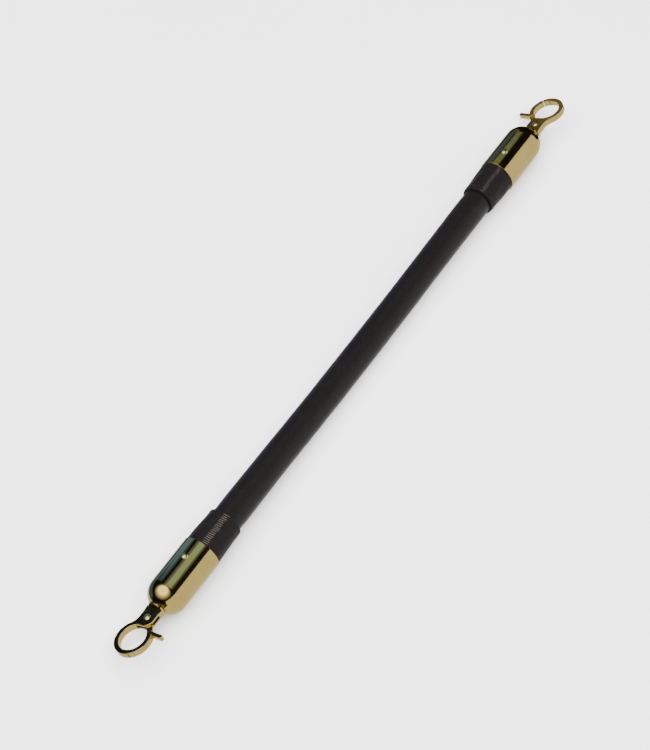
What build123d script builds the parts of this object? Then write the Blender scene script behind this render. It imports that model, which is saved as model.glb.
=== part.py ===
from build123d import *
from math import asin, atan2, cos, degrees, pi, radians, sin, sqrt, tan
import os

# Velvet barrier rope: a stuffed velvet rope whose two ends sit in bullet-shaped brass caps. Each cap
# carries a ring hook on a swivel pin, and part of each ring is a spring gate with a thumb lever.
# Millimetres. +X runs along the rope from end a to end b, +Z is up, and the floor is at Z = 0.

# Rope
overall_length = 1000.0
rope_radius = 19.1
cover_thickness = 1.2
cover_gap = 0.05

# Caps
cap_length = 88.8
cap_radius = 25.0
cap_wall = 1.0
cap_flat_radius = 11.4
cap_lip_round = 0.4
axis_height = cap_radius
rope_depth = 42.0

# Rivet that holds the rope in its cap
cap_rivet_from_mouth = 25.4
cap_rivet_angle = 11.5
cap_rivet_radius = 2.0
cap_rivet_head_radius = 4.75
cap_rivet_head_height = 2.3
cap_rivet_depth = 16.0

# Velvet cuff over a filler wrap
cuff_length = 49.0
cuff_depth = 34.0
cuff_end_radius = 22.2
cuff_gap = 0.1
cuff_edge_round = 0.9
wrap_radius = 20.9
wrap_inset = 2.5
stitch_count = 17
stitch_radius = 0.45
stitch_angle = -7.5
stitch_arc = 26.0
stitch_margin = 2.0

# Swivel
pin_radius = 2.5
running_gap = 0.05
collar_thickness = 2.3
washer_radius = 8.5
washer_thickness = 1.5
swivel_head_radius = 6.5
swivel_head_height = 4.0
swivel_thread_length = 6.5

# Hook, in its own plane: u along the rope away from the cap, w towards the thumb lever
hook_reach = 71.6
hook_tilt = 26.0
hook_thickness = 8.4
hook_edge_round = 0.7
ring_outer = 24.0
ring_inner = 18.0
ring_offset = 1.1
shank_half_width = 11.4
shank_flare = 1.2
shank_blend = 16.0
ear_round = 9.5
slot_thickness = 3.6
slot_start_u = 9.6
slot_floor_w = -6.8
nose_angle = 47.0
nose_gap = 0.3

# Gate
gate_pivot_u = 17.0
gate_shoulder_angle = -46.0
gate_root_radius = 6.0
gate_root_low = -0.5
gate_root_high = 1.7
gate_root_end_radius = 3.4
gate_pin_radius = 2.0
gate_pin_head_radius = 4.75
gate_pin_head_height = 2.2
lever_u = 34.0
lever_reach = 37.6
lever_width = 4.8
lever_knob_radius = 2.7
lever_thickness = 6.6
lever_foot_w = 19.0
lever_edge_round = 0.6
spring_wire = 0.9
spring_coil_radius = 3.1
spring_layer = -1.15
spring_ear_angle = -115.0
spring_gate_angle = 130.0
spring_ear_leg = 7.5
spring_gate_leg = 9.0
spring_hole_radius = 0.55
spring_ear_hole_depth = 1.3

# Places along the rope, measured from its middle
flat_x = overall_length / 2 - hook_reach
mouth_x = flat_x - cap_length
dome_x = flat_x - sqrt(cap_radius**2 - cap_flat_radius**2)
rope_end_x = mouth_x + rope_depth
cuff_x = mouth_x - cuff_length
cap_rivet_x = mouth_x + cap_rivet_from_mouth
collar_x = flat_x + running_gap
shank_u = running_gap + collar_thickness
ring_u = hook_reach - ring_outer
ear_end = ring_u - ring_inner
cap_inner = cap_radius - cap_wall
cuff_radius = cap_inner - cuff_gap

# The rope's route in the XZ plane: level inside the cuffs, then down to the floor between them
rope_route = [
    (-rope_end_x, axis_height),
    (-230.0, axis_height),
    (-77.0, rope_radius),
    (77.0, rope_radius),
    (230.0, axis_height),
    (rope_end_x, axis_height),
]

rope_axis = Axis((0, 0, axis_height), (1, 0, 0))
hook_normal = Vector(0, sin(radians(hook_tilt)), cos(radians(hook_tilt)))
os.makedirs("parts", exist_ok=True)


def save(piece, name):
    """Label the finished piece and write its STEP file."""
    piece.part.label = name
    export_step(piece.part, f"parts/{name}.step")


def profile_plane(side, roll=0.0):
    """Plane through the rope's axis: x is the distance from the middle towards one end, y the radius.
    roll turns it about the axis, from straight up towards +Y."""
    outward = Vector(0, sin(radians(roll)), cos(radians(roll)))
    along = Vector(side, 0, 0)
    return Plane(origin=(0, 0, axis_height), x_dir=along, z_dir=along.cross(outward))


def radial_plane(x, angle, radius=0.0):
    """Plane square to a radius of the rope at x, with its normal pointing outwards."""
    outward = Vector(0, sin(radians(angle)), cos(radians(angle)))
    return Plane(origin=Vector(x, 0, axis_height) + outward * radius, x_dir=(1, 0, 0), z_dir=outward)


def hook_plane(height=0.0):
    """Plane of end b's hook: origin on the cap's flat, x along u, y along w."""
    origin = Vector(flat_x, 0, axis_height) + hook_normal * height
    return Plane(origin=origin, x_dir=(1, 0, 0), z_dir=hook_normal)


def round_flat_faces(piece, radius):
    """Round the edges of the piece's two outermost faces across the hook's normal."""
    faces = piece.faces().sort_by(Axis(hook_plane().origin, hook_normal))
    fillet(faces[0].edges() + faces[-1].edges(), radius=radius)


def turned(piece):
    """The same piece at the other end: end b's hook parts turned half round the rings' normal."""
    with BuildPart() as other:
        add(piece.part.rotate(Axis((0, 0, axis_height), hook_normal), 180))
    return other


def on_circle(centre, radius, angle):
    """Point at an angle measured from w towards u about a centre in the hook's plane."""
    return (centre[0] + radius * sin(radians(angle)), centre[1] + radius * cos(radians(angle)))


def rivet_hole(side):
    """Cut the cap rivet's hole from the current part."""
    bottom = cap_radius - cap_rivet_depth
    with BuildSketch(radial_plane(side * cap_rivet_x, cap_rivet_angle, bottom)) as hole:
        Circle(cap_rivet_radius + running_gap)
    extrude(hole.sketch, amount=2 * cap_rivet_depth, mode=Mode.SUBTRACT)


def domed_head(radius, height):
    """Half profile of a domed head on the y axis of the current sketch, for a revolve."""
    sphere = (radius**2 + height**2) / (2 * height)
    with BuildLine() as outline:
        Line((0, 0), (radius, 0))
        RadiusArc((radius, 0), (0, height), -sphere)
        Line((0, height), (0, 0))
    make_face(outline.edges())


# ---------------------------------------------------------------- rope
def corner_radii(route):
    """Largest tangent arcs that the runs beside each corner allow."""
    points = [Vector(x, 0, z) for x, z in route]
    radii = []
    for before, corner, after in zip(points, points[1:], points[2:]):
        shorter = min((corner - before).length, (after - corner).length)
        turn = radians((corner - before).get_angle(after - corner))
        radii.append(0.45 * shorter / tan(turn / 2))
    return radii


route_radii = corner_radii(rope_route)
print("rope arc radii:", [round(r) for r in route_radii])


def rope_tube(outer, inner=0.0):
    """Sweep a round section along the rope's route, with the holes for the cap rivets."""
    with BuildPart() as tube:
        with BuildLine(Plane.XZ):
            route = FilletPolyline(*rope_route, radius=route_radii)
        with BuildSketch(Plane(origin=route @ 0, z_dir=route % 0)):
            Circle(outer)
            if inner:
                Circle(inner, mode=Mode.SUBTRACT)
        sweep(path=route)
        ideal = pi * (outer**2 - inner**2) * route.length
        print("tube volume over section times length:", round(tube.part.volume / ideal, 4))
        for side in (-1, 1):
            rivet_hole(side)
    return tube


rope_cover = rope_tube(rope_radius, rope_radius - cover_thickness)
save(rope_cover, "rope_cover")
rope_core = rope_tube(rope_radius - cover_thickness - cover_gap)
save(rope_core, "rope_core")


# ---------------------------------------------------------------- cap, cuff and rivet
def make_cap(side):
    """Thin bullet-shaped shell with a hole for the swivel pin in its flat."""
    inner_flat_x = flat_x - cap_wall
    outer_sweep = degrees(asin(cap_flat_radius / cap_radius)) - 90
    inner_flat_radius = sqrt(cap_inner**2 - (inner_flat_x - dome_x) ** 2)
    inner_start = degrees(atan2(inner_flat_radius, inner_flat_x - dome_x))
    hole = pin_radius + running_gap
    with BuildPart() as cap:
        with BuildSketch(profile_plane(side)):
            with BuildLine():
                Line((mouth_x, cap_inner), (mouth_x, cap_radius))
                Line((mouth_x, cap_radius), (dome_x, cap_radius))
                CenterArc((dome_x, 0), cap_radius, 90, outer_sweep)
                Line((flat_x, cap_flat_radius), (flat_x, hole))
                Line((flat_x, hole), (inner_flat_x, hole))
                Line((inner_flat_x, hole), (inner_flat_x, inner_flat_radius))
                CenterArc((dome_x, 0), cap_inner, inner_start, 90 - inner_start)
                Line((dome_x, cap_inner), (mouth_x, cap_inner))
            make_face()
        revolve(axis=rope_axis)
        lip = cap.edges().filter_by(GeomType.CIRCLE).group_by(Axis.X)[0 if side > 0 else -1]
        fillet(lip.sort_by(SortBy.RADIUS)[-1], radius=cap_lip_round)
        rivet_hole(side)
    return cap


def make_cap_rivet(side):
    """Domed rivet whose head is seated on the round cap."""
    shank_foot = cap_radius - cap_rivet_depth
    seat = sqrt(cap_radius**2 - cap_rivet_head_radius**2)
    with BuildPart() as rivet:
        head_plane = radial_plane(side * cap_rivet_x, cap_rivet_angle, seat)
        head_profile = Plane(origin=head_plane.origin, x_dir=(1, 0, 0), z_dir=head_plane.y_dir * -1)
        with BuildSketch(head_profile):
            domed_head(cap_rivet_head_radius, cap_rivet_head_height + cap_radius - seat)
        revolve(axis=Axis(head_plane.origin, head_plane.z_dir))
        with BuildSketch(profile_plane(side)):
            with Locations((cap_rivet_x, cap_radius / 2)):
                Rectangle(4 * cap_rivet_head_radius, cap_radius)
        revolve(axis=rope_axis, mode=Mode.SUBTRACT)
        with BuildSketch(radial_plane(side * cap_rivet_x, cap_rivet_angle, shank_foot + running_gap)):
            Circle(cap_rivet_radius)
        extrude(amount=cap_rivet_depth + cap_rivet_head_height / 2)
    return rivet


def make_cuff(side):
    """Velvet cuff: straight inside the cap, tapering towards the rope outside it."""
    inner = wrap_radius + cover_gap
    with BuildPart() as cuff:
        with BuildSketch(profile_plane(side)) as profile:
            with BuildLine():
                Polyline(
                    (cuff_x, inner),
                    (cuff_x, cuff_end_radius),
                    (mouth_x, cuff_radius),
                    (mouth_x + cuff_depth, cuff_radius),
                    (mouth_x + cuff_depth, inner),
                    close=True,
                )
            make_face()
            rim = profile.vertices().sort_by_distance((cuff_x, cuff_end_radius))[0]
            fillet(rim, radius=cuff_edge_round)
        revolve(axis=rope_axis)
        rivet_hole(side)
    return cuff


def make_wrap(side):
    """Felt wrap that fills the space between rope and cuff."""
    inner = rope_radius + cover_gap
    start = cuff_x + wrap_inset
    end = mouth_x + cuff_depth
    with BuildPart() as wrap:
        with BuildSketch(profile_plane(side)):
            with Locations(((start + end) / 2, (inner + wrap_radius) / 2)):
                Rectangle(end - start, wrap_radius - inner)
        revolve(axis=rope_axis)
        rivet_hole(side)
    return wrap


def make_stitches(side):
    """Ladder of short threads across the cuff's seam."""
    taper = (cuff_radius - cuff_end_radius) / cuff_length
    pitch = (cuff_length - 2 * stitch_margin) / (stitch_count - 1)
    with BuildPart() as stitches:
        for i in range(stitch_count):
            x = cuff_x + stitch_margin + i * pitch
            radius = cuff_end_radius + taper * (x - cuff_x) + stitch_radius + cover_gap
            with BuildSketch(profile_plane(side, stitch_angle - stitch_arc / 2)):
                with Locations((x, radius)):
                    Circle(stitch_radius)
            revolve(axis=rope_axis, revolution_arc=-stitch_arc)
    return stitches


# ---------------------------------------------------------------- swivel
def make_disc(side, start, thickness, radius, round_edges):
    """Washer on the rope's axis with a hole for the swivel pin."""
    hole = pin_radius + running_gap / 2
    with BuildPart() as disc:
        with BuildSketch(profile_plane(side)):
            with Locations((start + thickness / 2, (radius + hole) / 2)):
                Rectangle(thickness, radius - hole)
        revolve(axis=rope_axis)
        rims = disc.edges().filter_by(GeomType.CIRCLE).group_by(SortBy.RADIUS)[-1]
        fillet(rims, radius=round_edges)
    return disc


def make_swivel_pin(side):
    """Pin with a domed head inside the cap, screwed into the hook's shank."""
    head_foot = flat_x - cap_wall - running_gap - washer_thickness
    tip = flat_x + shank_u + swivel_thread_length
    sphere = (swivel_head_radius**2 + swivel_head_height**2) / (2 * swivel_head_height)
    with BuildPart() as pin:
        with BuildSketch(profile_plane(side)):
            with BuildLine():
                Line((head_foot - swivel_head_height, 0), (tip, 0))
                Line((tip, 0), (tip, pin_radius))
                Line((tip, pin_radius), (head_foot, pin_radius))
                Line((head_foot, pin_radius), (head_foot, swivel_head_radius))
                RadiusArc((head_foot, swivel_head_radius), (head_foot - swivel_head_height, 0), -sphere)
            make_face()
        revolve(axis=rope_axis)
    return pin


# ---------------------------------------------------------------- hook and gate
ring_centre = (ring_u, ring_offset)


def spring_foot(angle, leg, sense):
    """Point on a leg that leaves the spring's bend at an angle, in the hook's plane."""
    turn = radians(angle)
    u = gate_pivot_u + spring_coil_radius * cos(turn) + sense * leg * sin(turn)
    w = spring_coil_radius * sin(turn) - sense * leg * cos(turn)
    return (u, w)


spring_ear_foot = spring_foot(spring_ear_angle, spring_ear_leg, -1)
spring_gate_foot = spring_foot(spring_gate_angle, spring_gate_leg, 1)


def make_hook():
    """Shank with two ears for the gate, and the fixed part of the ring."""
    low = -hook_thickness / 2
    far = 3 * ring_outer
    blend_u = ring_u - sqrt(ring_outer**2 - (shank_half_width + ring_offset) ** 2)
    with BuildPart() as hook:
        with BuildSketch(hook_plane(low)) as outline:
            with Locations(ring_centre):
                Circle(ring_outer)
            with BuildLine():
                Polyline(
                    (shank_u, -shank_half_width - shank_flare),
                    (slot_start_u, -shank_half_width),
                    (ear_end, -shank_half_width),
                    (ear_end, shank_half_width),
                    (slot_start_u, shank_half_width),
                    (shank_u, shank_half_width + shank_flare),
                    close=True,
                )
            make_face()
            with BuildLine():
                Polyline(
                    (ear_end, ring_offset),
                    ring_centre,
                    on_circle(ring_centre, far, nose_angle),
                    (ring_u, far),
                    (slot_start_u, far),
                    (slot_start_u, shank_half_width),
                    (ear_end, shank_half_width),
                    close=True,
                )
            make_face(mode=Mode.SUBTRACT)
            with Locations(ring_centre):
                Circle(ring_inner, mode=Mode.SUBTRACT)
            ear_corner = outline.vertices().sort_by_distance((ear_end, shank_half_width))[0]
            fillet(ear_corner, radius=ear_round)
            side_meets_ring = outline.vertices().sort_by_distance((blend_u, -shank_half_width))[0]
            fillet(side_meets_ring, radius=shank_blend)
        extrude(amount=hook_thickness)
        round_flat_faces(hook, hook_edge_round)
        with BuildSketch(hook_plane(-slot_thickness / 2)):
            with BuildLine():
                Polyline(
                    (slot_start_u, slot_floor_w),
                    (ring_u, slot_floor_w),
                    (ring_u, far),
                    (slot_start_u, far),
                    close=True,
                )
            make_face()
        extrude(amount=slot_thickness, mode=Mode.SUBTRACT)
        with BuildSketch(hook_plane(low)):
            with Locations((gate_pivot_u, 0)):
                Circle(gate_pin_radius + running_gap)
        extrude(amount=hook_thickness, mode=Mode.SUBTRACT)
        with BuildSketch(hook_plane(-slot_thickness / 2 - spring_ear_hole_depth)):
            with Locations(spring_ear_foot):
                Circle(spring_hole_radius)
        extrude(amount=spring_ear_hole_depth, mode=Mode.SUBTRACT)
        with BuildSketch(profile_plane(1)):
            with Locations((flat_x + shank_u + swivel_thread_length / 2, pin_radius / 2)):
                Rectangle(swivel_thread_length, pin_radius)
        revolve(axis=rope_axis, mode=Mode.SUBTRACT)
    return hook


def make_gate():
    """Movable part of the ring with its thumb lever, on a thin root that turns between the ears."""
    gap_angle = degrees(nose_gap / ring_outer)
    low = -hook_thickness / 2
    far = 3 * ring_outer
    knob_w = lever_reach - lever_knob_radius
    with BuildPart() as gate:
        with BuildSketch(hook_plane(-lever_thickness / 2)):
            with Locations((lever_u, (lever_foot_w + knob_w) / 2)):
                Rectangle(lever_width, knob_w - lever_foot_w)
            with Locations((lever_u, knob_w)):
                Circle(lever_knob_radius)
        extrude(amount=lever_thickness)
        round_flat_faces(gate, lever_edge_round)
        with BuildSketch(hook_plane(low)):
            with Locations(ring_centre):
                Circle(ring_outer)
                Circle(ring_inner, mode=Mode.SUBTRACT)
            with BuildLine():
                Polyline(
                    ring_centre,
                    on_circle(ring_centre, far, gate_shoulder_angle),
                    on_circle(ring_centre, far, 0),
                    on_circle(ring_centre, far, nose_angle - gap_angle),
                    close=True,
                )
            make_face(mode=Mode.INTERSECT)
        extrude(amount=hook_thickness)
        round_flat_faces(gate, hook_edge_round)
        shoulder = on_circle(ring_centre, (ring_outer + ring_inner) / 2, gate_shoulder_angle + 5)
        with BuildSketch(hook_plane(gate_root_low)):
            with Locations((gate_pivot_u, 0)):
                Circle(gate_root_radius)
            with Locations(shoulder):
                Circle(gate_root_end_radius)
            make_hull()
            with Locations(ring_centre):
                Circle(ring_inner, mode=Mode.SUBTRACT)
        extrude(amount=gate_root_high - gate_root_low)
        with BuildSketch(hook_plane(low)):
            with Locations((gate_pivot_u, 0)):
                Circle(gate_pin_radius + running_gap)
            with Locations(spring_gate_foot):
                Circle(spring_hole_radius)
        extrude(amount=hook_thickness, mode=Mode.SUBTRACT)
    return gate


def make_gate_pin():
    """Pin through both ears with a domed head on each face of the shank."""
    half = hook_thickness / 2
    pivot = hook_plane().from_local_coords((gate_pivot_u, 0, 0))
    with BuildPart() as pin:
        with BuildSketch(hook_plane(-half)):
            with Locations((gate_pivot_u, 0)):
                Circle(gate_pin_radius)
        extrude(amount=hook_thickness)
        for face in (1, -1):
            up = hook_normal * face
            base = Vector(pivot) + up * half
            with BuildSketch(Plane(origin=base, x_dir=(1, 0, 0), z_dir=Vector(1, 0, 0).cross(up))):
                domed_head(gate_pin_head_radius, gate_pin_head_height)
            revolve(axis=Axis(base, up))
    return pin


def make_gate_spring():
    """Hairpin spring bent round the gate pin, one end in a hole of the gate, the other in the rear ear."""
    start = spring_foot(spring_ear_angle, 0, -1)
    end = spring_foot(spring_gate_angle, 0, 1)
    bend = spring_gate_angle - 360 - spring_ear_angle
    with BuildPart() as spring:
        with BuildLine(hook_plane(spring_layer)) as path:
            Line(spring_ear_foot, start)
            CenterArc((gate_pivot_u, 0), spring_coil_radius, spring_ear_angle, bend)
            Line(end, spring_gate_foot)
        wire = path.wires()[0]
        with BuildSketch(Plane(origin=wire @ 0, z_dir=wire % 0)):
            Circle(spring_wire / 2)
        sweep(path=wire)
        with BuildSketch(hook_plane(spring_layer)):
            with Locations(spring_gate_foot):
                Circle(spring_wire / 2)
        extrude(amount=gate_root_high - spring_layer - spring_wire / 2)
        with BuildSketch(hook_plane(-slot_thickness / 2 - spring_ear_hole_depth + running_gap)):
            with Locations(spring_ear_foot):
                Circle(spring_wire / 2)
        extrude(amount=spring_layer + slot_thickness / 2 + spring_ear_hole_depth)
    return spring


inner_x = flat_x - cap_wall - running_gap - washer_thickness
for prefix, side in (("a", -1), ("b", 1)):
    save(make_cap(side), f"{prefix}_cap")
    save(make_cap_rivet(side), f"{prefix}_cap_rivet")
    save(make_cuff(side), f"{prefix}_cuff")
    save(make_wrap(side), f"{prefix}_cuff_wrap")
    save(make_stitches(side), f"{prefix}_cuff_stitches")
    save(make_disc(side, collar_x, collar_thickness, cap_flat_radius, 0.5), f"{prefix}_swivel_collar")
    save(make_disc(side, inner_x, washer_thickness, washer_radius, 0.3), f"{prefix}_swivel_washer")
    save(make_swivel_pin(side), f"{prefix}_swivel_pin")

hook_parts = {
    "hook": make_hook(),
    "gate": make_gate(),
    "gate_pin": make_gate_pin(),
    "gate_spring": make_gate_spring(),
}
for part_name, piece in hook_parts.items():
    save(turned(piece), f"a_{part_name}")
    save(piece, f"b_{part_name}")
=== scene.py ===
from math import cos, exp, pi, radians, sin, tan

import bpy
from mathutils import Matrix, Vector, noise


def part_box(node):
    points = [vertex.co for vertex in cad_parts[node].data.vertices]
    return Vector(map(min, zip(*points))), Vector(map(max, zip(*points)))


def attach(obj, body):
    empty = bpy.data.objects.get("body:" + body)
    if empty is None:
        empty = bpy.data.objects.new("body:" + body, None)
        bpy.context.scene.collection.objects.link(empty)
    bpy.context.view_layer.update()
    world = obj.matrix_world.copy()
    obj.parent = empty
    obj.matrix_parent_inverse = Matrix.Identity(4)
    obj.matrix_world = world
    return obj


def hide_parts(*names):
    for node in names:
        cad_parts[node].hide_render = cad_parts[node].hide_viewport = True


# A velvet barrier rope with a brass cap, a velvet cuff and a ring hook on a swivel at each end.
# Metres. End a is at -X and end b at +X, +Z is up, and the floor is at Z = 0.

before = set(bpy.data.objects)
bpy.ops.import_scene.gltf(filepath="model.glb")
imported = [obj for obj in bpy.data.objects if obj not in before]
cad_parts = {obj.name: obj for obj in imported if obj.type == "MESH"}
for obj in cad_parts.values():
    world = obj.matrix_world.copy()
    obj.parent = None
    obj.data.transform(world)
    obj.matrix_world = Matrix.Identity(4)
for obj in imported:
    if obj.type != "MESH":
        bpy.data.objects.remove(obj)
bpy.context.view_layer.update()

# Places and sizes taken from the imported parts
cap_low, cap_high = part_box("b_cap")
cuff_low, cuff_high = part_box("b_cuff")
wrap_low, wrap_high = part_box("b_cuff_wrap")
axis_height = (cap_low.z + cap_high.z) / 2
mouth_x = cap_low.x
cuff_length = mouth_x - cuff_low.x
cuff_depth = cuff_high.x - mouth_x
cuff_radius = (cuff_high.y - cuff_low.y) / 2
wrap_radius = (wrap_high.y - wrap_low.y) / 2
wrap_start = wrap_low.x - cuff_low.x
wrap_end = wrap_high.x - cuff_low.x

# Rope
rope_radius = 0.0191
rope_swell = 0.0005
swell_x = 0.262
swell_reach = 0.045
lump_height = 0.0002
lump_length = 0.045
rope_pucker_length = 0.011
rope_sides = 96
rope_seam_depth = 0.0006
rope_seam_width = 0.0009
route_resolution = 64

# Cuffs
cuff_end_radius = 0.0223
cuff_lip_radius = 0.0197
cuff_sides = 160
cuff_steps = 72
seam_angle = -10.5
cuff_seam_depth = 0.0007
cuff_seam_width = 0.0009
overlap_width = 0.0012
pucker_height = 0.00022
pucker_from_seam = 0.0024
pucker_width = 0.0013
near_hem_ridge = 0.0036
near_hem_groove = 0.0052
far_hem_ridge = 0.0062
far_hem_groove = 0.0086
far_hem_drift = 0.0012
rumple_height = 0.00034
cap_clearance = 0.0003
mouth_fade = 0.001
mouth_lead = 0.0009
relief_fade = 0.006
hem_turn_steps = 12
lip_steps = 5
inside_steps = 8
wrap_clearance = 0.00005
wrap_gap = 0.0002
wrap_rope_clearance = 0.0008

# Threads across a cuff's seam
thread_count = 17
thread_radius = 0.00036
thread_margin = 0.0022
thread_steps = 14
thread_sides = 10
thread_tip_share = 0.55
thread_dive = 1.6
ply_relief = 0.16
ply_twist = 1.3


def mesh_piece(name, vertices, faces, material):
    """A smooth-shaded mesh piece with its material."""
    mesh = bpy.data.meshes.new(name)
    mesh.from_pydata(vertices, [], faces)
    mesh.validate()
    mesh.polygons.foreach_set("use_smooth", [True] * len(mesh.polygons))
    mesh.materials.append(material)
    piece = bpy.data.objects.new(name, mesh)
    bpy.context.scene.collection.objects.link(piece)
    return piece


# ---- camera ----

camera_data = bpy.data.cameras.new("camera")
camera_data.lens = 96.15
camera_data.sensor_width = 36.0
camera = bpy.data.objects.new("camera", camera_data)
camera.location = (-1.18862, -0.73907, 2.13190)
camera_target = Vector((-0.0508, 0.0163, 0.025))
camera.rotation_euler = (camera_target - camera.location).to_track_quat("-Z", "Y").to_euler()
bpy.context.scene.collection.objects.link(camera)
bpy.context.scene.camera = camera


# ---- materials ----


class Shader:
    """A material's node tree with its Principled shader, in the object's own coordinates."""

    def __init__(self, name, **values):
        self.material = bpy.data.materials.new(name)
        self.material.use_nodes = True
        self.tree = self.material.node_tree
        self.surface = self.tree.nodes["Principled BSDF"]
        for socket, value in values.items():
            self.surface.inputs[socket.replace("_", " ")].default_value = value
        self.place = self.tree.nodes.new("ShaderNodeTexCoord").outputs["Object"]
        self.normal = None

    def link(self, source, target):
        self.tree.links.new(source, target)

    def noise(self, scale, detail=3.0, stretch=(1.0, 1.0, 1.0), roughness=0.5):
        """Noise with this many features to a metre, drawn out along an axis where stretch is small."""
        mapping = self.tree.nodes.new("ShaderNodeMapping")
        mapping.inputs["Scale"].default_value = stretch
        self.link(self.place, mapping.inputs["Vector"])
        node = self.tree.nodes.new("ShaderNodeTexNoise")
        node.inputs["Scale"].default_value = scale
        node.inputs["Detail"].default_value = detail
        node.inputs["Roughness"].default_value = roughness
        self.link(mapping.outputs["Vector"], node.inputs["Vector"])
        return node.outputs["Fac"]

    def ramp(self, factor, low, high, start=0.35, end=0.65):
        """Colours from low to high as the factor goes from start to end."""
        node = self.tree.nodes.new("ShaderNodeValToRGB")
        node.color_ramp.elements[0].position = start
        node.color_ramp.elements[1].position = end
        node.color_ramp.elements[0].color = (*low, 1.0)
        node.color_ramp.elements[1].color = (*high, 1.0)
        self.link(factor, node.inputs["Fac"])
        return node.outputs["Color"]

    def mix(self, factor, a, b, mode="MIX"):
        """Two colours mixed by a factor socket or number."""
        node = self.tree.nodes.new("ShaderNodeMix")
        node.data_type = "RGBA"
        node.blend_type = mode
        if isinstance(factor, float):
            node.inputs["Factor"].default_value = factor
        else:
            self.link(factor, node.inputs["Factor"])
        self.link(a, node.inputs["A"])
        self.link(b, node.inputs["B"])
        return node.outputs["Result"]

    def between(self, factor, low, high):
        """The factor's 0 to 1 turned into low to high."""
        node = self.tree.nodes.new("ShaderNodeMapRange")
        node.inputs["To Min"].default_value = low
        node.inputs["To Max"].default_value = high
        self.link(factor, node.inputs["Value"])
        return node.outputs["Result"]

    def bump(self, height, distance, strength=1.0):
        """Relief added over any already there."""
        node = self.tree.nodes.new("ShaderNodeBump")
        node.inputs["Distance"].default_value = distance
        node.inputs["Strength"].default_value = strength
        self.link(height, node.inputs["Height"])
        if self.normal:
            self.link(self.normal, node.inputs["Normal"])
        self.normal = node.outputs["Normal"]
        self.link(self.normal, self.surface.inputs["Normal"])


def velvet(name, dark, light, roughness, gloss, sheen):
    """Cut-pile velvet: fine upright fibres in small tufts, brushed a little lighter and darker."""
    s = Shader(name, Specular_IOR_Level=gloss, Sheen_Weight=sheen, Sheen_Roughness=0.4)
    s.surface.inputs["Sheen Tint"].default_value = (0.95, 0.84, 0.80, 1.0)
    fibre = s.noise(2600.0, 2.0)
    tuft = s.noise(900.0, 3.0, roughness=0.65)
    nap = s.noise(55.0, 4.0, (0.30, 1.0, 1.0))
    brushed = s.ramp(nap, dark, light, 0.25, 0.8)
    tufted = s.ramp(tuft, dark, light, 0.35, 0.65)
    colour = s.mix(0.65, brushed, tufted)
    pile = s.ramp(fibre, (0.45, 0.45, 0.45), (1.6, 1.56, 1.52), 0.32, 0.68)
    s.link(s.mix(1.0, colour, pile, "MULTIPLY"), s.surface.inputs["Base Color"])
    s.link(s.between(tuft, roughness - 0.10, roughness + 0.10), s.surface.inputs["Roughness"])
    s.bump(tuft, 0.00030, 0.55)
    s.bump(fibre, 0.00016, 0.60)
    return s.material


def brass(name, bright, deep, polish, scratch_stretch):
    """Lacquered brass: a warm tone that drifts a little, fine polishing lines and small dull marks."""
    s = Shader(name, Metallic=1.0)
    drift = s.noise(22.0, 3.0)
    cloud = s.noise(95.0, 4.0)
    marks = s.noise(900.0, 3.0, scratch_stretch)
    wide_tone = s.ramp(drift, deep, bright, 0.3, 0.6)
    fine_tone = s.ramp(cloud, deep, bright, 0.3, 0.55)
    tone = s.mix(0.4, wide_tone, fine_tone)
    s.link(tone, s.surface.inputs["Base Color"])
    s.link(s.between(cloud, polish - 0.03, polish + 0.07), s.surface.inputs["Roughness"])
    s.bump(drift, 0.0006, 0.10)
    s.bump(marks, 0.00002, 0.12)
    return s.material


def steel(name, light, dark, roughness):
    """Plated or drawn steel with fine marks."""
    s = Shader(name, Metallic=1.0)
    cloud = s.noise(160.0, 4.0)
    marks = s.noise(1400.0, 2.0, (1.0, 0.2, 1.0))
    s.link(s.ramp(cloud, dark, light, 0.3, 0.6), s.surface.inputs["Base Color"])
    s.link(s.between(cloud, roughness - 0.05, roughness + 0.1), s.surface.inputs["Roughness"])
    s.bump(marks, 0.00003, 0.2)
    return s.material


def fibre(name, light, dark, scale, relief):
    """Dull fibres, as in felt or spun thread."""
    s = Shader(name, Roughness=0.9, Sheen_Weight=0.2)
    strand = s.noise(scale, 4.0)
    patch = s.noise(scale / 9, 2.0)
    s.link(
        s.mix(0.5, s.ramp(strand, dark, light), s.ramp(patch, dark, light)),
        s.surface.inputs["Base Color"],
    )
    s.bump(strand, relief, 0.6)
    return s.material


rope_velvet = velvet(
    "rope_velvet",
    dark=(0.0020, 0.0016, 0.0014),
    light=(0.0046, 0.0038, 0.0035),
    roughness=0.38,
    gloss=0.25,
    sheen=0.03,
)
cuff_velvet = velvet(
    "cuff_velvet",
    dark=(0.0022, 0.0017, 0.0017),
    light=(0.0058, 0.0044, 0.0045),
    roughness=0.50,
    gloss=0.16,
    sheen=0.03,
)
cap_brass = brass("cap_brass", (0.62, 0.47, 0.155), (0.57, 0.41, 0.105), 0.09, (0.25, 1.0, 1.0))
hook_brass = brass("hook_brass", (0.64, 0.49, 0.175), (0.57, 0.42, 0.125), 0.09, (1.0, 1.0, 0.3))
# Rivets and gate pins: a rougher brass whose colour is lighter than the caps'. The extra lightness is
# painted highlight standing in for the glints they catch.
rivet_brass_painted_highlight = brass("rivet_brass_painted_highlight", (0.92, 0.73, 0.30), (0.82, 0.61, 0.20), 0.26, (1.0, 1.0, 1.0))
plated_steel = steel("plated_steel", (0.62, 0.61, 0.58), (0.42, 0.41, 0.39), 0.22)
spring_steel = steel("spring_steel", (0.50, 0.48, 0.45), (0.33, 0.32, 0.30), 0.30)
felt = fibre("felt", (0.10, 0.09, 0.08), (0.05, 0.045, 0.04), 700.0, 0.0002)
thread_light = fibre("thread_light", (0.078, 0.068, 0.052), (0.036, 0.031, 0.024), 1600.0, 0.00008)
thread_dark = fibre("thread_dark", (0.040, 0.033, 0.030), (0.016, 0.013, 0.012), 1600.0, 0.00008)

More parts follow.
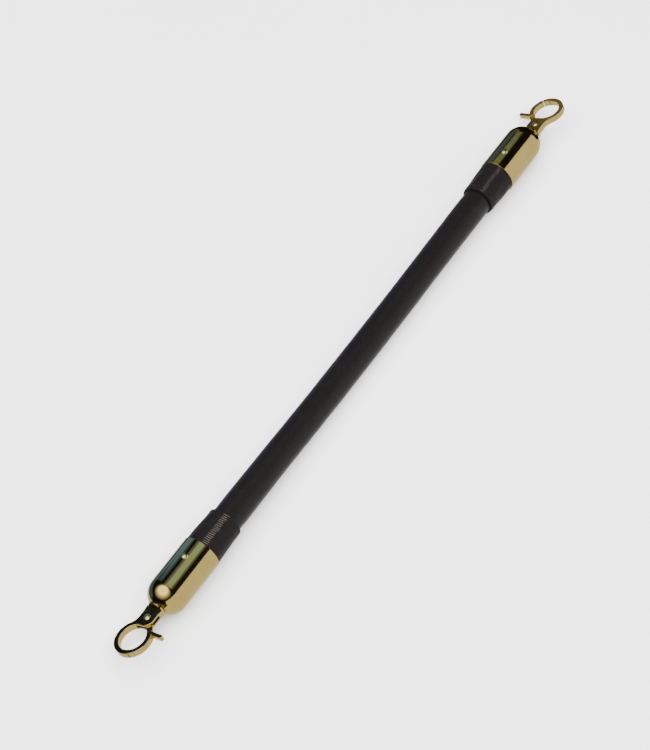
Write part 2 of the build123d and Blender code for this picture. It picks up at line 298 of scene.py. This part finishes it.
finishes = {
    "cap": cap_brass,
    "cap_rivet": rivet_brass_painted_highlight,
    "swivel_collar": cap_brass,
    "swivel_washer": plated_steel,
    "swivel_pin": plated_steel,
    "hook": hook_brass,
    "gate": hook_brass,
    "gate_pin": rivet_brass_painted_highlight,
    "gate_spring": spring_steel,
}
for end in "ab":
    for node, material in finishes.items():
        for material_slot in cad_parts[f"{end}_{node}"].material_slots:
            material_slot.material = material


# ---- rope ----

# The rope's route in the XZ plane: level inside the cuffs, then down to the floor between them
rope_route = [
    (-0.3816, 0.025),
    (-0.2300, 0.025),
    (-0.0770, 0.0191),
    (0.0770, 0.0191),
    (0.2300, 0.025),
    (0.3816, 0.025),
]

route_curve = bpy.data.curves.new("rope_route", "CURVE")
route_curve.dimensions = "3D"
spline = route_curve.splines.new("NURBS")
spline.points.add(len(rope_route) - 1)
for point, (x, z) in zip(spline.points, rope_route):
    point.co = (x, 0.0, z, 1.0)
spline.order_u = 3
spline.use_endpoint_u = True
spline.resolution_u = route_resolution
route_object = bpy.data.objects.new("rope_route", route_curve)
bpy.context.scene.collection.objects.link(route_object)
bpy.context.view_layer.update()
route_mesh = bpy.data.meshes.new_from_object(route_object)
path = [vertex.co.copy() for vertex in route_mesh.vertices]
bpy.data.objects.remove(route_object)


def ring_of(centre, along, radius_at, sides):
    """Points round the centre, square to along, starting straight up and turning towards +Y."""
    across = Vector((0, 1, 0))
    up = along.cross(across) * (1 if along.x < 0 else -1)
    up.normalize()
    ring = []
    for k in range(sides):
        angle = 2 * pi * k / sides
        ring.append(centre + (up * cos(angle) + across * sin(angle)) * radius_at(angle))
    return ring


def skin(rings, sides):
    """Faces between the rings, with a fan over each end."""
    vertices = [point for ring in rings for point in ring]
    faces = []
    for i in range(len(rings) - 1):
        for k in range(sides):
            n = (k + 1) % sides
            faces.append((i * sides + k, i * sides + n, (i + 1) * sides + n, (i + 1) * sides + k))
    for i, flip in ((0, True), (len(rings) - 1, False)):
        middle = len(vertices)
        ring = rings[i]
        vertices.append(sum(ring, Vector()) / sides)
        for k in range(sides):
            n = (k + 1) % sides
            a, b = i * sides + k, i * sides + n
            faces.append((b, a, middle) if flip else (a, b, middle))
    return vertices, faces


def dip(distance, width):
    """1 at the middle of a groove or ridge, falling to 0 on both sides."""
    return exp(-((distance / width) ** 2))


def turn_from(angle, middle):
    """The signed angle from middle, between -pi and pi."""
    return (angle - middle + pi) % (2 * pi) - pi


def rope_shape(x):
    """The rope's radius round it at x: a little swollen near the cuffs, softly lumpy, seamed below."""
    past = abs(x) - swell_x
    swell = rope_swell * dip(past, swell_reach if past < 0 else swell_reach / 2)

    def radius_at(angle):
        lump = noise.noise(Vector((x / lump_length, 1.2 * cos(angle), 1.2 * sin(angle))))
        pucker = noise.noise(Vector((x / rope_pucker_length, 2.5 * cos(angle), 2.5 * sin(angle) + 7)))
        seam = dip(turn_from(angle, pi) * rope_radius, rope_seam_width)
        return rope_radius + swell + lump_height * (lump + 0.25 * pucker) - rope_seam_depth * seam

    return radius_at


rings = []
for i, point in enumerate(path):
    before, after = path[max(i - 1, 0)], path[min(i + 1, len(path) - 1)]
    ring = ring_of(point, (after - before).normalized(), rope_shape(point.x), rope_sides)
    # It is pressed flat where it would reach under the floor
    rings.append([Vector((p.x, p.y, max(p.z, 0.0))) for p in ring])
rope = mesh_piece("rope", *skin(rings, rope_sides), rope_velvet)
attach(rope, "root")
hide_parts("rope_cover", "rope_core")


# ---- cuffs, wraps and their threads ----


def smooth(t):
    """0 to 1 with a soft start and end."""
    t = min(max(t, 0.0), 1.0)
    return t * t * (3 - 2 * t)


def cuff_outside(along):
    """The cuff's outer radius at this distance from its free edge, a little less inside the cap."""
    spread = (cuff_radius - cuff_end_radius) * smooth(along / cuff_length)
    inside = smooth((along - cuff_length + mouth_lead) / mouth_fade)
    return cuff_end_radius + spread - cap_clearance * inside


def lathe(name, side, profile, relief, material):
    """A closed ring of this profile, a loop of (distance from the cuff's free edge, radius, relief's
    share), turned round the rope's axis."""
    count = len(profile)
    vertices, faces = [], []
    for k in range(cuff_sides):
        angle = 2 * pi * k / cuff_sides
        for along, radius, share in profile:
            r = radius + (share * relief(along, angle) if share else 0)
            x = side * (cuff_low.x + along)
            vertices.append((x, r * sin(angle), axis_height + r * cos(angle)))
    for k in range(cuff_sides):
        m = (k + 1) % cuff_sides
        for j in range(count):
            n = (j + 1) % count
            face = (k * count + j, k * count + n, m * count + n, m * count + j)
            faces.append(face if side < 0 else face[::-1])
    return mesh_piece(name, vertices, faces, material)


hem_round = (cuff_end_radius - cuff_lip_radius) / 2
hem_middle = (cuff_outside(hem_round) + cuff_lip_radius) / 2
hem_half = (cuff_outside(hem_round) - cuff_lip_radius) / 2
lip_length = wrap_start - wrap_gap
lip_widening = 0.0001
cuff_end = cuff_length + cuff_depth
inside_radius = wrap_radius + wrap_clearance

# The outside from inside the cap to the free edge, the turned edge, the lip, and back over the wrap
cuff_profile = []
for i in range(cuff_steps + 1):
    along = cuff_end + (hem_round - cuff_end) * i / cuff_steps
    share = 1 - smooth((along - cuff_length + relief_fade) / relief_fade)
    cuff_profile.append((along, cuff_outside(along), share))
for i in range(1, hem_turn_steps):
    turn = pi * i / hem_turn_steps
    along = hem_round * (1 - sin(turn))
    cuff_profile.append((along, hem_middle + hem_half * cos(turn), (1 + cos(turn)) / 2))
for i in range(lip_steps + 1):
    along = hem_round + (lip_length - hem_round) * i / lip_steps
    cuff_profile.append((along, cuff_lip_radius + lip_widening * i / lip_steps, 0))
for i in range(inside_steps + 1):
    along = lip_length + (cuff_end - lip_length) * i / inside_steps
    cuff_profile.append((along, inside_radius, 0))

wrap_profile = [
    (wrap_start, rope_radius + wrap_rope_clearance, 0),
    (wrap_end, rope_radius + wrap_rope_clearance, 0),
    (wrap_end, wrap_radius, 0),
    (wrap_start, wrap_radius, 0),
]


def near_relief(along, angle):
    """Cuff a: a sewn seam that puckers under its threads, and a narrow turned hem."""
    around = turn_from(angle, radians(seam_angle)) * cuff_radius
    seam = -cuff_seam_depth * dip(around, cuff_seam_width)
    for edge in (-1, 1):
        seam += pucker_height * dip(around - edge * pucker_from_seam, pucker_width)
    hem = -0.00032 * dip(along - near_hem_groove, 0.0008)
    hem += 0.00012 * dip(along - near_hem_ridge, 0.0012)
    rumple = noise.noise(Vector((along / 0.012, 3 * cos(angle), 3 * sin(angle))))
    fine = noise.noise(Vector((along / 0.004, 9 * cos(angle), 9 * sin(angle))))
    return seam + hem + rumple_height * (rumple + 0.35 * fine)


def far_relief(along, angle):
    """Cuff b: an overlapped seam with lumpy edges, a raised ridge near its free edge, more rumpled."""
    around = turn_from(angle, radians(seam_angle)) * cuff_radius
    lumps = 0.5 + 0.9 * noise.noise(Vector((along / 0.0030, 4.0, 0.0)))
    seam = cuff_seam_depth * lumps * dip(around + overlap_width, overlap_width)
    seam -= cuff_seam_depth * dip(around - overlap_width, cuff_seam_width)
    drift = far_hem_drift * noise.noise(Vector((2 * cos(angle), 2 * sin(angle), 1.5)))
    hem = 0.0006 * dip(along - far_hem_ridge - drift, 0.0010)
    hem -= 0.0005 * dip(along - far_hem_groove - drift, 0.0011)
    rumple = noise.noise(Vector((along / 0.009, 3.5 * cos(angle), 3.5 * sin(angle) + 5)))
    fold = noise.noise(Vector((along / 0.020 + 2 * sin(angle), 2 * cos(angle), 9.0)))
    fine = noise.noise(Vector((along / 0.004, 9 * cos(angle), 9 * sin(angle) + 3)))
    return seam + hem + rumple_height * (1.7 * rumple + 1.2 * fold + 0.6 * fine)


def thread_tube(points, radius):
    """Vertices and faces of a two-ply thread that follows its points, thinner at the tips."""
    rings = []
    for i, point in enumerate(points):
        before, after = points[max(i - 1, 0)], points[min(i + 1, len(points) - 1)]
        along = (after - before).normalized()
        one = along.cross(Vector((1, 0.2, 0.1))).normalized()
        two = along.cross(one)
        middle_share = sin(pi * i / (len(points) - 1)) ** 0.5
        thin = thread_tip_share + (1 - thread_tip_share) * middle_share
        ring = []
        for k in range(thread_sides):
            angle = 2 * pi * k / thread_sides
            ply = 1 + ply_relief * cos(2 * angle + ply_twist * i)
            ring.append(point + (one * cos(angle) + two * sin(angle)) * radius * thin * ply)
        rings.append(ring)
    return skin(rings, thread_sides)


def threads(name, side, relief, arc, radius, lift, wander, material):
    """Threads sewn across a cuff's seam, each diving into the fabric at both tips. arc is their
    length in degrees round the cuff, lift how far they stand off it, and wander how uneven they are."""
    vertices, faces = [], []
    for i in range(thread_count):
        share = i / (thread_count - 1)
        at = thread_margin + (cuff_length - 2 * thread_margin) * (1 - share)
        drift = [noise.noise(Vector((i * 1.7, n, side * 3.1))) for n in (0.0, 5.0, 11.0, 17.0)]
        slant = (0.0005 + 0.0009 * drift[0]) * wander
        shift = radians(3.0) * drift[1] * wander
        half = radians(arc / 2) * (1 + 0.22 * drift[2] * wander)
        thick = radius * (1 + 0.25 * drift[3] * wander)
        points = []
        for n in range(thread_steps + 1):
            t = 2 * n / thread_steps - 1
            angle = radians(seam_angle) + shift + half * t
            along = at + slant * t
            bow = lift * (1 - t**6) - thread_dive * thick * t**6
            r = cuff_outside(along) + max(relief(along, angle), -0.0001) + bow
            x = side * (cuff_low.x + along)
            points.append(Vector((x, r * sin(angle), axis_height + r * cos(angle))))
        tube_vertices, tube_faces = thread_tube(points, thick)
        start = len(vertices)
        vertices += tube_vertices
        faces += [tuple(start + v for v in face) for face in tube_faces]
    return mesh_piece(name, vertices, faces, material)


for end, side, relief in (("a", -1, near_relief), ("b", 1, far_relief)):
    cuff = lathe(f"{end}_velvet_cuff", side, cuff_profile, relief, cuff_velvet)
    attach(cuff, "root")
    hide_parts(f"{end}_cuff")
    wrap = lathe(f"{end}_felt_wrap", side, wrap_profile, relief, felt)
    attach(wrap, "root")
    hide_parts(f"{end}_cuff_wrap")

near_threads = threads(
    "a_threads",
    side=-1,
    relief=near_relief,
    arc=20.0,
    radius=thread_radius,
    lift=0.0003,
    wander=1.0,
    material=thread_light,
)
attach(near_threads, "root")
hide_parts("a_cuff_stitches")
far_threads = threads(
    "b_threads",
    side=1,
    relief=far_relief,
    arc=15.0,
    radius=0.9 * thread_radius,
    lift=0.0001,
    wander=2.0,
    material=thread_dark,
)
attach(far_threads, "root")
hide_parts("b_cuff_stitches")


# ---- floor and light ----

floor_reach = 6.0
cove_radius = 2.5
wall_height = 6.0
floor_rings = 4
cove_steps = 12
cove_sides = 96

floor_shader = Shader("pale_floor", Roughness=0.95, Specular_IOR_Level=0.1)
floor_tone = floor_shader.ramp(floor_shader.noise(3.0), (0.80, 0.80, 0.80), (0.83, 0.83, 0.83))
floor_shader.link(floor_tone, floor_shader.surface.inputs["Base Color"])

# A level floor that curves up into a wall all round
cove = [(floor_reach * step / floor_rings, 0.0) for step in range(1, floor_rings + 1)]
for step in range(1, cove_steps + 1):
    turn = pi / 2 * step / cove_steps
    cove.append((floor_reach + cove_radius * sin(turn), cove_radius * (1 - cos(turn))))
cove.append((floor_reach + cove_radius, wall_height))
cove_vertices = [(0.0, 0.0, 0.0)]
cove_faces = []
for reach, height in cove:
    for k in range(cove_sides):
        angle = 2 * pi * k / cove_sides
        cove_vertices.append((reach * cos(angle), reach * sin(angle), height))
for k in range(cove_sides):
    n = (k + 1) % cove_sides
    cove_faces.append((0, 1 + k, 1 + n))
    for i in range(len(cove) - 1):
        a, b = 1 + i * cove_sides, 1 + (i + 1) * cove_sides
        cove_faces.append((a + k, b + k, b + n, a + n))
floor = mesh_piece("floor", cove_vertices, cove_faces, floor_shader.material)
# The brass mirrors the light cards, which go on below the horizon, and not the floor
floor.visible_glossy = False

# The cards stand all round the rope's axis, and their coloured bands are what the brass mirrors
card_distance = 3.0


def card(
    name, start, end, x_low, x_high, radiance, colour=(1, 1, 1), shape="RECTANGLE", inward=0.0, seen=True
):
    """A soft light that lies between two angles from straight up, positive towards -Y, and two
    places along X. inward brings it nearer than card_distance, in front of another, and seen is
    whether the brass mirrors it."""
    middle = radians((start + end) / 2)
    half = radians((end - start) / 2)
    away = card_distance - inward
    light = bpy.data.lights.new(name, "AREA")
    light.shape = shape
    light.size = x_high - x_low
    light.size_y = 2 * away * tan(half)
    area = light.size * light.size_y * (pi / 4 if shape == "ELLIPSE" else 1)
    light.energy = radiance * pi * area
    light.color = colour
    lamp = bpy.data.objects.new(name, light)
    lamp.location = ((x_low + x_high) / 2, -away * sin(middle), away * cos(middle))
    lamp.rotation_euler = (middle, 0, 0)
    lamp.visible_camera = False
    lamp.visible_glossy = seen
    bpy.context.scene.collection.objects.link(lamp)


cool = (0.69, 1.0, 1.29)
teal = (0.48, 1.0, 2.6)
warm = (1.0, 0.96, 0.86)
olive = (0.62, 1.0, 1.5)
pale_olive = (0.76, 1.0, 1.1)
slate = (0.50, 1.0, 2.2)
amber = (1.0, 0.8, 0.5)

card("overhead", -40, 40, -2.5, 2.5, 8.5, seen=False)
card("key_near", 46, 93, -6.5, 1.5, 1.02)
card("key_far", 28, 93, 1.5, 6.5, 1.02)
card("under_near", 93, 165, -6.5, 1.5, 1.02)
card("under_far", 93, 165, 1.5, 6.5, 1.02)
card("below", 165, 235, -4.0, 4.0, 1.0)
card("grey_near", -36, 20, 0.10, 1.5, 0.20, cool)
card("grey_near_core", -24, 10, 0.10, 1.5, 0.44, cool, inward=0.05)
card("teal_near", -112, -56, 0.68, 1.5, 0.12, teal)
card("teal_near_core", -106, -66, 0.68, 1.5, 0.20, teal, inward=0.05)
card("edge_near", -125, -92, -3.0, 0.66, 0.14, teal)
card("olive_far", -66, -12, 1.5, 2.58, 0.12, olive)
card("olive_far_core", -58, -20, 1.5, 2.58, 0.21, pale_olive, inward=0.05)
card("grey_far", -108, -66, 1.5, 2.58, 0.15, slate)
card("hook_far", -85, -55, 2.62, 3.4, 0.22, amber)
card("dome", -72, 34, -7.5, 0.08, 0.34, warm, "ELLIPSE")
card("dome_glow", -60, 22, -5.0, -0.06, 0.75, warm, "ELLIPSE", inward=0.03)
card("dome_spot", -50, 12, -3.4, -0.22, 1.6, warm, "ELLIPSE", inward=0.06)

world = bpy.data.worlds.new("studio")
world.use_nodes = True
world.node_tree.nodes["Background"].inputs["Color"].default_value = (0.013, 0.013, 0.014, 1.0)
bpy.context.scene.world = world
